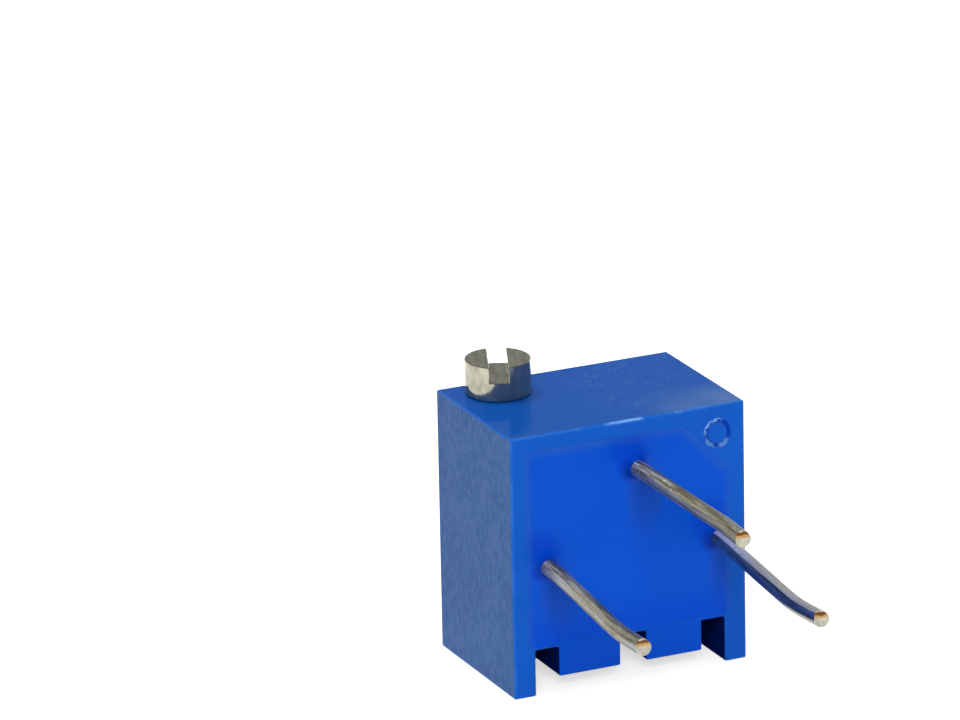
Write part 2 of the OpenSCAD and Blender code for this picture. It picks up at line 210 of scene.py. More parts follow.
def keep_sharp(edges):
    for edge in edges:
        edge.smooth = False


def sharp_edges(bm, angle, test=lambda middle: True):
    limit = math.radians(angle)
    return [edge for edge in bm.edges if edge.is_manifold and edge.calc_face_angle(0) > limit
            and test((edge.verts[0].co + edge.verts[1].co) / 2)]


def round_off(bm, edges, width, segments=3, material=-1, clamp=True):
    """Rounds edges. The borders of the rounding stay sharp, so that flat faces shade as flat."""
    made = bmesh.ops.bevel(bm, geom=edges, offset=width, offset_type="OFFSET", segments=segments,
                           profile=0.5, affect="EDGES", clamp_overlap=clamp,
                           material=material)["faces"]
    rounded = set(made)
    for edge in {edge for face in made for edge in face.edges}:
        edge.smooth = set(edge.link_faces) <= rounded


def spin_mesh(profile, steps):
    """A closed body of revolution about Z from (radius, height) points."""
    bm = bmesh.new()
    points = [bm.verts.new((radius, 0, height)) for radius, height in profile]
    edges = [bm.edges.new(pair) for pair in zip(points, points[1:])]
    bmesh.ops.spin(bm, geom=points + edges, axis=(0, 0, 1), cent=(0, 0, 0), steps=steps,
                   angle=math.tau, use_merge=True)
    bmesh.ops.remove_doubles(bm, verts=bm.verts, dist=0.0005)
    outward(bm)
    return bm


def round_bar(radius, sides, length, axis, middle):
    """A round bar of some length along an axis, about its middle."""
    bm = bmesh.new()
    turns = {"X": Matrix.Rotation(math.pi / 2, 4, "Y"), "Y": Matrix.Rotation(math.pi / 2, 4, "X"),
             "Z": Matrix()}
    bmesh.ops.create_cone(bm, cap_ends=True, segments=sides, radius1=radius, radius2=radius,
                          depth=length, matrix=Matrix.Translation(middle) @ turns[axis])
    return bm


def box_mesh(low, high):
    bm = bmesh.new()
    bmesh.ops.create_cube(bm, size=1)
    bmesh.ops.scale(bm, vec=high - low, verts=bm.verts)
    bmesh.ops.translate(bm, vec=(low + high) / 2, verts=bm.verts)
    return bm


def carve(piece, cutters):
    """Cuts closed meshes out of a finished piece, and leaves none of them in the scene."""
    tools = [make_piece("tool", cutter, []) for cutter in cutters]
    for tool in tools:
        cut = piece.modifiers.new("cut", "BOOLEAN")
        cut.operation = "DIFFERENCE"
        cut.solver = "EXACT"
        cut.object = tool
    bpy.context.view_layer.update()
    carved = bpy.data.meshes.new_from_object(
        piece.evaluated_get(bpy.context.evaluated_depsgraph_get()))
    piece.modifiers.clear()
    spent = [piece.data] + [tool.data for tool in tools]
    piece.data = carved
    for tool in tools:
        bpy.data.objects.remove(tool)
    for mesh in spent:
        bpy.data.meshes.remove(mesh)
    carved.name = piece.name
    bm = bmesh.new()
    bm.from_mesh(carved)
    keep_sharp(sharp_edges(bm, 50))
    bm.to_mesh(carved)
    bm.free()


def add_shell(bm, other):
    """Adds another closed shell to a mesh, as part of the same piece."""
    mesh = bpy.data.meshes.new("shell")
    other.to_mesh(mesh)
    other.free()
    bm.from_mesh(mesh)
    bpy.data.meshes.remove(mesh)


# ---------------------------------------------------------------- shader groups
def feed(node, values):
    """Sets each named input of a node to a value, or links it to a socket."""
    for key, value in values.items():
        if isinstance(value, bpy.types.NodeSocket):
            node.id_data.links.new(value, node.inputs[key])
        else:
            node.inputs[key].default_value = value


def add_node(tree, kind, inputs=None, **settings):
    """A node with its settings, and each named input set to a value or linked to a socket."""
    made = tree.nodes.new(kind)
    for key, value in settings.items():
        setattr(made, key, value)
    feed(made, inputs or {})
    return made


def tree_of(*values):
    """The tree that these values belong to: at least one of them is a socket."""
    return next(value.id_data for value in values if isinstance(value, bpy.types.NodeSocket))


def sums(operation, first, second=0.0, third=0.0):
    made = add_node(tree_of(first, second, third), "ShaderNodeMath",
                    {0: first, 1: second, 2: third}, operation=operation)
    return made.outputs[0]


def prod(first, *others):
    """The product of two or more values."""
    for other in others:
        first = sums("MULTIPLY", first, other)
    return first


def madd(first, second, third):
    """The first value times the second, plus the third."""
    return sums("MULTIPLY_ADD", first, second, third)


def vectors(operation, first, second=(0, 0, 0)):
    made = add_node(tree_of(first, second), "ShaderNodeVectorMath", {0: first, 1: second},
                    operation=operation)
    return made.outputs["Value" if operation in ("LENGTH", "DOT_PRODUCT") else "Vector"]


def axes_of(vector):
    return add_node(vector.id_data, "ShaderNodeSeparateXYZ", {0: vector}).outputs


def ranged(value, low, high, to_low=0.0, to_high=1.0):
    made = add_node(value.id_data, "ShaderNodeMapRange",
                    {"Value": value, "From Min": low, "From Max": high, "To Min": to_low,
                     "To Max": to_high}, interpolation_type="SMOOTHSTEP")
    return made.outputs["Result"]


def within(value, low, high):
    """A mask that rises from one measure to another, both in millimetres."""
    return ranged(value, low * MM, high * MM)


def noise(vector, scale, detail, roughness):
    made = add_node(vector.id_data, "ShaderNodeTexNoise",
                    {"Vector": vector, "Scale": scale, "Detail": detail, "Roughness": roughness})
    return made.outputs["Fac"]


def blend(mask, first, second):
    """The first colour where the mask is nought, and the second where it is one.

    A mix of colours takes its mask in socket 0 and its colours in 6 and 7, and gives them in 2.
    """
    first, second = (c + (1,) if isinstance(c, tuple) else c for c in (first, second))
    made = add_node(mask.id_data, "ShaderNodeMix", {0: mask, 6: first, 7: second},
                    data_type="RGBA")
    return made.outputs[2]


def new_group(name, inputs, outputs):
    tree = bpy.data.node_groups.new(name, "ShaderNodeTree")
    for way, sockets in (("INPUT", inputs), ("OUTPUT", outputs)):
        for socket_name, kind in sockets:
            tree.interface.new_socket(socket_name, in_out=way, socket_type="NodeSocket" + kind)
    return tree, tree.nodes.new("NodeGroupInput").outputs, tree.nodes.new("NodeGroupOutput")


def build_edge_rub():
    """Mask of a box's edges, broken up so that only patches of them look rubbed."""
    tree, put, out = new_group(
        "edge_rub",
        [("Vector", "Vector"), ("Half Size", "Vector"), ("Width", "Float"), ("Patches", "Float")],
        [("Mask", "Float"), ("Line", "Float")])
    axes = axes_of(vectors("SUBTRACT", put["Half Size"], vectors("ABSOLUTE", put["Vector"])))
    near = [ranged(sums("DIVIDE", axis, put["Width"]), 1.0, 0.0) for axis in axes]
    pairs = [prod(near[i], near[j]) for i, j in ((0, 1), (1, 2), (0, 2))]
    line = sums("MAXIMUM", sums("MAXIMUM", pairs[0], pairs[1]), pairs[2])
    patchy = ranged(noise(put["Vector"], put["Patches"], 4.0, 0.7), 0.42, 0.66)
    feed(out, {"Mask": prod(line, patchy), "Line": line})
    return tree


def build_moulded_grain():
    """Fine grain of moulded or poured plastic, with faint streaks along a chosen way."""
    tree, put, out = new_group(
        "moulded_grain",
        [("Vector", "Vector"), ("Grain", "Float"), ("Stretch", "Vector")],
        [("Height", "Float"), ("Streaks", "Float"), ("Clouds", "Float")])
    fine = noise(put["Vector"], put["Grain"], 4.0, 0.6)
    pulled = vectors("MULTIPLY", put["Vector"], put["Stretch"])
    streaks = noise(pulled, 1.0, 5.0, 0.65)
    clouds = noise(put["Vector"], prod(put["Grain"], 0.06), 3.0, 0.6)
    feed(out, {"Height": madd(streaks, 0.6, fine), "Streaks": streaks, "Clouds": clouds})
    return tree


def build_spots():
    """Mask of a round spot about a centre in X and Z, with its own width and height."""
    tree, put, out = new_group(
        "soft_spot",
        [("Vector", "Vector"), ("Centre", "Vector"), ("Spread", "Vector")],
        [("Mask", "Float")])
    offset = vectors("SUBTRACT", put["Vector"], put["Centre"])
    axes = axes_of(vectors("DIVIDE", offset, put["Spread"]))
    square = sums("ADD", prod(axes[0], axes[0]), prod(axes[2], axes[2]))
    feed(out, {"Mask": ranged(sums("SQRT", square), 1.0, 0.35)})
    return tree


def build_metal_mottle():
    """Uneven brightness and tiny pits of plated or tinned metal."""
    tree, put, out = new_group(
        "metal_mottle",
        [("Vector", "Vector"), ("Stretch", "Vector"), ("Pits", "Float")],
        [("Tone", "Float"), ("Height", "Float"), ("Specks", "Float")])
    pulled = vectors("MULTIPLY", put["Vector"], put["Stretch"])
    tone = noise(pulled, 1.0, 4.0, 0.6)
    pits = noise(put["Vector"], put["Pits"], 2.0, 0.5)
    feed(out, {"Tone": tone, "Height": madd(pits, 0.5, tone), "Specks": ranged(pits, 0.62, 0.74)})
    return tree


EDGE_RUB = build_edge_rub()
MOULDED_GRAIN = build_moulded_grain()
SOFT_SPOT = build_spots()
METAL_MOTTLE = build_metal_mottle()


def spaced(inputs):
    """Input names written with underscores, as the spaced names that the sockets have."""
    return {key.replace("_", " "): value for key, value in inputs.items()}


def use_group(group, **inputs):
    tree = tree_of(*inputs.values())
    return add_node(tree, "ShaderNodeGroup", spaced(inputs), node_tree=group).outputs


def spot(place, centre, width, height):
    """Mask of a soft spot on the lead face or the top, all in millimetres."""
    return use_group(SOFT_SPOT, Vector=place, Centre=Vector(centre) * MM,
                     Spread=Vector((width, 1.0, height)) * MM)["Mask"]


def new_material(name):
    """A material with its empty finish, and its object coordinates."""
    material = bpy.data.materials.new(name)
    material.use_nodes = True
    return material, add_node(material.node_tree, "ShaderNodeTexCoord").outputs["Object"]


def dress(material, colour, roughness, height, depth, strength=0.5, **others):
    """Feeds the finish: its colour and roughness, and a relief whose depth is in millimetres."""
    tree = material.node_tree
    bump = add_node(tree, "ShaderNodeBump",
                    {"Height": height, "Distance": depth * MM, "Strength": strength})
    feed(tree.nodes["Principled BSDF"],
         {"Base Color": colour, "Roughness": roughness, "Normal": bump.outputs["Normal"],
          **spaced(others)})
    return material


# ---------------------------------------------------------------- materials
def ring_band(place):
    """Two masks of the round mark: its groove, and the rim just outside it."""
    level = vectors("MULTIPLY", vectors("SUBTRACT", place, MARK * MM), (1, 0, 1))
    reach = vectors("LENGTH", level)
    near_rim = sums("ABSOLUTE", sums("SUBTRACT", reach, (MARK_RADIUS - 0.03) * MM))
    groove_middle = (MARK_RADIUS - MARK_GROOVE / 2) * MM
    near_groove = sums("ABSOLUTE", sums("SUBTRACT", reach, groove_middle))
    return (within(near_groove, MARK_GROOVE * 0.50, MARK_GROOVE * 0.25),
            within(near_rim, 0.08, 0.03))


def blue_moulding():
    """The housing: clean blue on its faces, dust and a painted sheen on its sides, a scuffed top
    painted darker as shade and paler with a painted sheen, rubbed edges with a painted highlight,
    and a ring mark with a painted-dark groove and painted glints.
    """
    material, place = new_material("blue_moulding")
    tree = material.node_tree
    local = add_node(tree, "ShaderNodeMapping",
                     {"Vector": place, "Location": BODY_MIDDLE * -MM}).outputs[0]
    half = Vector((HALF_WIDTH, (CLOSED_FACE - LEAD_FACE) / 2, TOP / 2)) * MM
    grain = use_group(MOULDED_GRAIN, Vector=local, Grain=9000.0, Stretch=(6500.0, 6500.0, 3800.0))
    rub_and_highlight = use_group(EDGE_RUB, Vector=local, Half_Size=half, Width=0.10 * MM, Patches=900.0)
    # Where the top edges take their strongest rubbing and painted highlight.
    knock_and_highlight = spot(place, (0.4, 0, TOP), 2.2, 0.5)
    scuff = spot(place, (1.6, 0, TOP), 2.6, 0.5)
    axes = axes_of(place)
    aside = sums("ABSOLUTE", axes["X"])
    facing = axes_of(add_node(tree, "ShaderNodeTexCoord").outputs["Normal"])
    outer = within(aside, HALF_WIDTH - 0.20, HALF_WIDTH - 0.10)
    side = prod(outer, ranged(sums("ABSOLUTE", facing["X"]), 0.85, 0.98))
    upward = ranged(facing["Z"], 0.5, 0.9)
    level = ranged(sums("ABSOLUTE", facing["Y"]), 0.5, 0.9)
    low = within(axes["Z"], NOTCH_TOP + 0.20, NOTCH_TOP)
    between = within(aside, HALF_WIDTH - FOOT_WIDTH + 0.02, HALF_WIDTH - FOOT_WIDTH - 0.02)
    base = blend(grain["Clouds"], (0.003, 0.088, 0.500), (0.007, 0.108, 0.560))
    on_face = within(axes["Y"], LEAD_FACE + 0.2, LEAD_FACE + 0.1)
    tab = prod(low, between, prod(level, on_face))
    base = blend(tab, base, (0.0008, 0.072, 0.560))
    # Painted shade: faces that look up take a darker blue than the lead face.
    base = blend(upward, base, (0.003, 0.084, 0.405))
    # Dust and painted sheen: the outer sides take paler, greyer blues, in streaks.
    streaks_and_clouds = madd(grain["Clouds"], 0.5, grain["Streaks"])
    dust_and_sheen = blend(ranged(streaks_and_clouds, 0.56, 0.94), (0.025, 0.101, 0.310), (0.067, 0.160, 0.370))
    base = blend(prod(side, 0.90), base, dust_and_sheen)
    speckle = noise(local, 12500.0, 3.0, 0.7)
    patches = ranged(noise(local, 1300.0, 3.0, 0.6), 0.40, 0.62, 0.25, 1.0)
    scuffed = prod(upward, scuff, ranged(speckle, 0.48, 0.68, 0.0, 0.95), patches)
    base = blend(scuffed, base, (0.042, 0.150, 0.440))
    # Painted sheen: a paler, greyer patch on the top near the lead face, broken up by clouds.
    top_sheen = prod(within(axes["X"], 0.2, 2.8),
                   within(axes["Y"], LEAD_FACE + 2.2, LEAD_FACE + 0.3), upward,
                   ranged(grain["Clouds"], 0.30, 0.65, 0.4, 0.9))
    base = blend(top_sheen, base, (0.085, 0.180, 0.430))
    # Painted highlight: a brighter blue along every edge of the box.
    base = blend(prod(rub_and_highlight["Line"], 0.40), base, (0.020, 0.160, 0.600))
    # Rubbed patches along the edges, with a painted highlight where they are strongest, on the top.
    worn_and_highlit = prod(rub_and_highlight["Mask"], madd(knock_and_highlight, 0.90, 0.08))
    groove, rim = ring_band(place)
    # Painted shade: the groove of the ring mark is a deeper blue.
    base = blend(prod(groove, on_face), base, (0.001, 0.045, 0.380))
    # Painted glints and chips: pale spots on the rim of the ring mark.
    chips_and_glints = 0.0
    for x, z, size, strength in MARK_CHIPS_AND_GLINTS:
        chip_and_glint = prod(spot(place, MARK + Vector((x, 0, z)), size, size), strength)
        chips_and_glints = sums("MAXIMUM", chips_and_glints, chip_and_glint)
    broken = ranged(noise(local, 8500.0, 3.0, 0.6), 0.38, 0.50)
    worn_and_highlit = sums("MAXIMUM", worn_and_highlit, prod(rim, on_face, broken, chips_and_glints))
    # Pale blue on the rubbed edges, their painted highlight, and the ring's painted glints and
    # chips.
    base = blend(worn_and_highlit, base, (0.250, 0.500, 0.900))
    rough = madd(side, 0.14, madd(grain["Clouds"], 0.12, 0.24))
    relief = prod(grain["Height"], madd(upward, -0.75, 1.0))
    return dress(material, base, madd(upward, -0.20, rough), relief, 0.006,
                 Specular_IOR_Level=0.06)


def notch_painted_shade():
    """The walls of the notches and of the gap between the feet: painted shade, a very deep blue
    without gloss.
    """
    material, place = new_material("notch_painted_shade")
    grain = use_group(MOULDED_GRAIN, Vector=place, Grain=9000.0, Stretch=(900.0, 900.0, 2600.0))
    base = blend(ranged(grain["Streaks"], 0.30, 0.70), (0.0004, 0.008, 0.085),
                 (0.0008, 0.014, 0.125))
    return dress(material, base, madd(grain["Clouds"], 0.2, 0.6), grain["Height"], 0.006,
                 Specular_IOR_Level=0.0)


def blue_epoxy():
    """The potting: smooth bright blue, with painted shade round the roots of the leads, a painted
    reflection of each lead above its root, and a painted shadow below it.
    """
    material, place = new_material("blue_epoxy")
    grain = use_group(MOULDED_GRAIN, Vector=place, Grain=5000.0, Stretch=(700.0, 700.0, 420.0))
    base = blend(grain["Clouds"], (0.0005, 0.074, 0.570), (0.0015, 0.086, 0.620))
    # At each lead: a painted dark reflection of the lead above its root, a painted greyish shadow
    # below and to its right, and painted shade round its root.
    for lead in LEADS.values():
        for aside, above, size, strength, tone in (
                (-0.08, 0.35, (0.75, 0.95), 0.6, (0.0, 0.038, 0.500)),
                (0.35, -0.95, (0.75, 1.35), 0.4, (0.014, 0.058, 0.360)),
                (-0.06, -0.06, (0.44, 0.46), 0.8, (0.0, 0.030, 0.300))):
            middle = (lead["x"] + aside, LEAD_FACE, lead["z"] + above)
            base = blend(prod(spot(place, middle, *size), strength), base, tone)
    axes = axes_of(place)
    low = within(axes["Z"], 2.6, 1.5)
    base = blend(prod(low, 0.5), base, (0.0, 0.056, 0.560))
    beside = within(sums("ABSOLUTE", axes["X"]), RECESS_HALF - 0.22, RECESS_HALF)
    above = within(axes["Z"], RECESS_TOP - 0.30, RECESS_TOP)
    beyond = (RECESS_HALF + RECESS_TOP - CORNER_LEG) * MM
    corner = within(sums("SUBTRACT", beyond, sums("ADD", axes["X"], axes["Z"])), 0.50, 0.05)
    shallow = sums("MAXIMUM", corner, sums("MAXIMUM", beside, above))
    thin = prod(shallow, ranged(grain["Clouds"], 0.30, 0.70, 0.35, 0.90))
    base = blend(thin, base, (0.018, 0.104, 0.500))
    return dress(material, base, madd(grain["Streaks"], 0.14, 0.20), grain["Clouds"], 0.03,
                 Specular_IOR_Level=0.06)


def tinned_wire():
    """Tin with pits and scuffs, and a painted highlight along the top of each lead, paler near its
    root: two streaky dull leads, one brighter.
    """
    material, place = new_material("tinned_wire")
    axes = axes_of(place)
    tree = material.node_tree
    normal = add_node(tree, "ShaderNodeTexCoord").outputs["Normal"]
    drawn = add_node(tree, "ShaderNodeAttribute", attribute_name="drawn").outputs["Vector"]
    mottle = use_group(METAL_MOTTLE, Vector=drawn, Stretch=(8000.0, 500.0, 8000.0), Pits=10000.0)
    lines = noise(vectors("MULTIPLY", drawn, (9500.0, 420.0, 9500.0)), 1.0, 3.0, 0.6)
    dull = within(axes["X"], 1.7, 1.3)
    base = blend(ranged(mottle["Tone"], 0.35, 0.66), (0.20, 0.20, 0.155), (0.42, 0.41, 0.32))
    near_root = within(axes["Y"], LEAD_FACE - 2.6, LEAD_FACE - 0.7)
    # The band where the highlight is painted: a strip along each lead, turned toward its highlight
    # way and frayed by the mottle.
    toward_dull = madd(near_root, -0.08, vectors("DOT_PRODUCT", normal, DULL_HIGHLIGHT_WAY))
    dull_highlight = ranged(madd(mottle["Tone"], 0.50, toward_dull), 1.06, 1.22)
    toward_clean = vectors("DOT_PRODUCT", normal, CLEAN_HIGHLIGHT_WAY)
    clean_highlight = ranged(madd(mottle["Tone"], 0.30, toward_clean), 0.20, 0.36)
    crest = madd(dull, sums("SUBTRACT", dull_highlight, clean_highlight), clean_highlight)
    # Painted highlight colours: pale grey on the clean lead, nearly white near its root; tan on the
    # dull leads, lilac-white near their roots.
    clean = blend(near_root, (0.46, 0.48, 0.49), (0.74, 0.76, 0.80))
    highlight_tone = blend(near_root, (0.31, 0.295, 0.195), (0.44, 0.46, 0.52))
    highlight_tone = blend(dull, clean, highlight_tone)
    # Painted highlight along that band.
    base = blend(prod(crest, 0.85), base, highlight_tone)
    near_tip = within(axes["Y"], LEAD_FACE - 3.4, LEAD_FACE - 5.4)
    base = blend(prod(near_tip, dull, 0.35), base, (0.10, 0.095, 0.065))
    dark = prod(dull, ranged(lines, 0.50, 0.58, 0.0, 0.80))
    base = blend(dark, base, (0.085, 0.070, 0.036))
    pale = prod(dull, ranged(lines, 0.46, 0.38, 0.0, 0.50))
    base = blend(pale, base, (0.45, 0.46, 0.47))
    base = blend(prod(mottle["Specks"], 0.75), base, (0.12, 0.09, 0.05))
    scuffs = ranged(noise(place, 9000.0, 2.0, 0.5), 0.66, 0.72)
    base = blend(prod(scuffs, 0.7), base, (0.85, 0.85, 0.82))
    rough = madd(crest, 0.20, madd(dull, 0.14, madd(mottle["Tone"], 0.16, 0.12)))
    return dress(material, base, rough, mottle["Height"], 0.004,
                 Metallic=madd(dull, -0.32, madd(crest, -0.40, 0.92)))


def cut_wire_end():
    """The snipped end of a lead: pale tin pulled across it, and bare copper along the top."""
    material, place = new_material("cut_wire_end")
    mottle = use_group(METAL_MOTTLE, Vector=place, Stretch=(7000.0, 7000.0, 7000.0), Pits=11000.0)
    height = add_node(material.node_tree, "ShaderNodeAttribute",
                      attribute_name="cut_height").outputs["Fac"]
    uneven = madd(mottle["Tone"], 0.6, sums("SUBTRACT", height, 0.30))
    base = blend(ranged(mottle["Tone"], 0.35, 0.65), (0.40, 0.40, 0.33), (0.60, 0.56, 0.44))
    base = blend(prod(mottle["Specks"], 0.7), base, (0.34, 0.20, 0.10))
    gilt, bare, edge = (0.68, 0.43, 0.18), (0.24, 0.095, 0.020), (0.70, 0.64, 0.52)
    for low, high, tone in ((0.12, 0.34, gilt), (0.46, 0.58, bare), (0.80, 0.90, edge)):
        base = blend(ranged(uneven, low, high), base, tone)
    return dress(material, base, madd(mottle["Tone"], 0.25, 0.30), mottle["Height"], 0.03, 0.6,
                 Metallic=0.35)


def plated_screw():
    """Satin nickel plate, with tool marks that run the way of the slot."""
    material, place = new_material("plated_screw")
    along = add_node(material.node_tree, "ShaderNodeMapping",
                     {"Vector": place, "Location": SCREW_AXIS * MM,
                      "Rotation": (0, 0, math.radians(-SLOT_TURN))}, vector_type="TEXTURE")
    mottle = use_group(METAL_MOTTLE, Vector=along.outputs[0], Stretch=(6500.0, 1300.0, 2600.0),
                       Pits=9000.0)
    base = blend(ranged(mottle["Tone"], 0.32, 0.70), (0.31, 0.30, 0.23), (0.48, 0.47, 0.36))
    base = blend(prod(mottle["Specks"], 0.5), base, (0.24, 0.21, 0.16))
    return dress(material, base, madd(mottle["Tone"], 0.12, 0.08), mottle["Height"], 0.0015,
                 Metallic=0.92)


def plain_grained(name, dark, light, roughness, metallic=0.0, grain=7000.0, depth=0.005,
                  stretch=(2500.0, 2500.0, 2500.0)):
    """The finishes of the inner pieces: two tones, fine grain and uneven gloss."""
    material, place = new_material(name)
    texture = use_group(MOULDED_GRAIN, Vector=place, Grain=grain, Stretch=stretch)
    base = blend(ranged(texture["Streaks"], 0.30, 0.70), dark, light)
    return dress(material, base, madd(texture["Clouds"], 0.16, roughness - 0.08),
                 texture["Height"], depth, Metallic=metallic)


MOULDING = blue_moulding()
NOTCH_PAINTED_SHADE = notch_painted_shade()
EPOXY = blue_epoxy()
WIRE = tinned_wire()
WIRE_END = cut_wire_end()
PLATING = plated_screw()
CAD_FINISHES = {
    "substrate": plain_grained("alumina", (0.82, 0.80, 0.75), (0.93, 0.92, 0.89), 0.55),
    "resistive_track": plain_grained("cermet", (0.03, 0.03, 0.035), (0.09, 0.09, 0.10), 0.5,
                                     stretch=(900.0, 900.0, 6000.0)),
    "worm_wheel": plain_grained("white_nylon", (0.74, 0.73, 0.66), (0.87, 0.86, 0.81), 0.45),
    "wiper": plain_grained("spring_alloy", (0.66, 0.46, 0.19), (0.86, 0.66, 0.34), 0.25, 1.0,
                           stretch=(6000.0, 800.0, 800.0)),
    "screw_o_ring": plain_grained("seal_rubber", (0.24, 0.07, 0.04), (0.34, 0.11, 0.06), 0.7),
    "screw_retaining_clip": plain_grained("clip_steel", (0.42, 0.43, 0.45), (0.66, 0.67, 0.69),
                                          0.3, 1.0, stretch=(7000.0, 700.0, 700.0)),
}
SILVER_PRINT = plain_grained("silver_print", (0.62, 0.60, 0.55), (0.82, 0.81, 0.77), 0.42, 1.0)
SOLDER = plain_grained("solder", (0.52, 0.53, 0.54), (0.78, 0.79, 0.80), 0.3, 1.0, grain=4000.0,
                       depth=0.02)
for print_name in ("collector_ring", "end_pad_ccw", "end_pad_cw", "conductor_ccw",
                   "conductor_wiper", "conductor_cw"):
    CAD_FINISHES[print_name] = SILVER_PRINT
for lead_name in LEADS:
    CAD_FINISHES["solder_" + lead_name] = SOLDER
for node_name, finish_material in CAD_FINISHES.items():
    for material_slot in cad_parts[node_name].material_slots:
        material_slot.material = finish_material


# ---------------------------------------------------------------- housing
NOTCHES = [(-HALF_WIDTH + FOOT_WIDTH, -HALF_WIDTH + FOOT_WIDTH + NOTCH_WIDTH),
           (MIDDLE_NOTCH_X - MIDDLE_NOTCH_WIDTH / 2, MIDDLE_NOTCH_X + MIDDLE_NOTCH_WIDTH / 2),
           (HALF_WIDTH - FOOT_WIDTH - NOTCH_WIDTH, HALF_WIDTH - FOOT_WIDTH)]


def inside_recess(x, z):
    """How far a point lies inside the recess, negative outside it."""
    corner = (RECESS_HALF + RECESS_TOP - CORNER_LEG - x - z) / math.sqrt(2)
    return min(RECESS_HALF - abs(x), z - RECESS_FLOOR, RECESS_TOP - z, corner)


def upright_grid(half_width, low, high, y, columns=1, rows=1):
    """A grid across X and Z, as wide on either side, from a low to a high Z."""
    bm = bmesh.new()
    bmesh.ops.create_grid(bm, x_segments=columns, y_segments=rows, size=0.5)
    bmesh.ops.rotate(bm, cent=(0, 0, 0), matrix=Matrix.Rotation(math.pi / 2, 3, "X"),
                     verts=bm.verts)
    bmesh.ops.scale(bm, vec=(2 * half_width, 1, high - low), verts=bm.verts)
    bmesh.ops.translate(bm, vec=(0, y, (low + high) / 2), verts=bm.verts)
    return bm


def lead_face_plate():
    """The housing's outline seen from the lead side, cut along every form that starts there."""
    bm = upright_grid(HALF_WIDTH, 0, TOP, LEAD_FACE)
    outward(bm)
    inner = HALF_WIDTH - FOOT_WIDTH
    split_at(bm, "Z", FOOT_HEIGHT, NOTCH_TOP, RECESS_FLOOR, RECESS_TOP)
    split_at(bm, "X", -RECESS_HALF, -inner, inner, RECESS_HALF,
             *[side for notch in NOTCHES for side in notch])
    corner = Vector((1, 0, 1))
    recess = faces_where(bm, lambda c, n: RECESS_FLOOR < c.z < RECESS_TOP
                         and abs(c.x) < RECESS_HALF)
    edges = {edge for face in recess for edge in face.edges}
    verts = {vert for face in recess for vert in face.verts}
    bmesh.ops.bisect_plane(bm, geom=list(verts) + list(edges) + recess, dist=1e-5,
                           plane_co=(RECESS_HALF, 0, RECESS_TOP - CORNER_LEG), plane_no=corner)
    channel = faces_where(bm, lambda c, n: c.z < FOOT_HEIGHT and abs(c.x) < inner)
    bmesh.ops.delete(bm, geom=channel, context="FACES")
    for face in bm.faces:
        if face.normal.y > 0:
            face.normal_flip()
    return bm


def add_ring_mark(bm):
    """Lets a ring groove with a rounded bottom into the corner of the lead face."""
    patch = faces_where(bm, lambda c, n: n.y < -0.9 and abs(c.y - LEAD_FACE) < 1e-4
                        and inside_recess(c.x, c.z) < 0)
    near = [face for face in patch if any(
        (vert.co - MARK).length < CORNER_LEG for vert in face.verts)]
    near = [face for face in near if face.calc_center_median().x > RECESS_HALF - CORNER_LEG
            or face.calc_center_median().z > RECESS_TOP]
    hole = bmesh.ops.dissolve_faces(bm, faces=near)["region"]
    rim = [edge for face in hole for edge in face.edges]
    bmesh.ops.delete(bm, geom=hole, context="FACES_ONLY")
    turn = Matrix.Translation(MARK) @ Matrix.Rotation(math.pi / 2, 4, "X")
    made = bmesh.ops.create_circle(bm, cap_ends=False, segments=64, radius=MARK_RADIUS,
                                   matrix=turn)["verts"]
    ring = list({edge for vert in made for edge in vert.link_edges})
    keep_sharp(ring)
    bmesh.ops.triangle_fill(bm, use_beauty=True, use_dissolve=False, edges=rim + ring,
                            normal=(0, -1, 0))
    radius = MARK_RADIUS
    middle = MARK_RADIUS - MARK_GROOVE / 2
    for step in range(1, 9):
        angle = math.pi * step / 8
        to_radius = middle + MARK_GROOVE / 2 * math.cos(angle)
        depth = MARK_DEPTH * math.sin(angle)
        ring, verts = grow_ring(bm, ring)
        bmesh.ops.scale(bm, vec=Vector((1, 1, 1)) * (to_radius / radius), verts=verts,
                        space=Matrix.Translation(-MARK))
        for vert in verts:
            vert.co.y = LEAD_FACE + depth
        radius = to_radius
    keep_sharp(ring)
    cap(bm, ring)
    outward(bm)


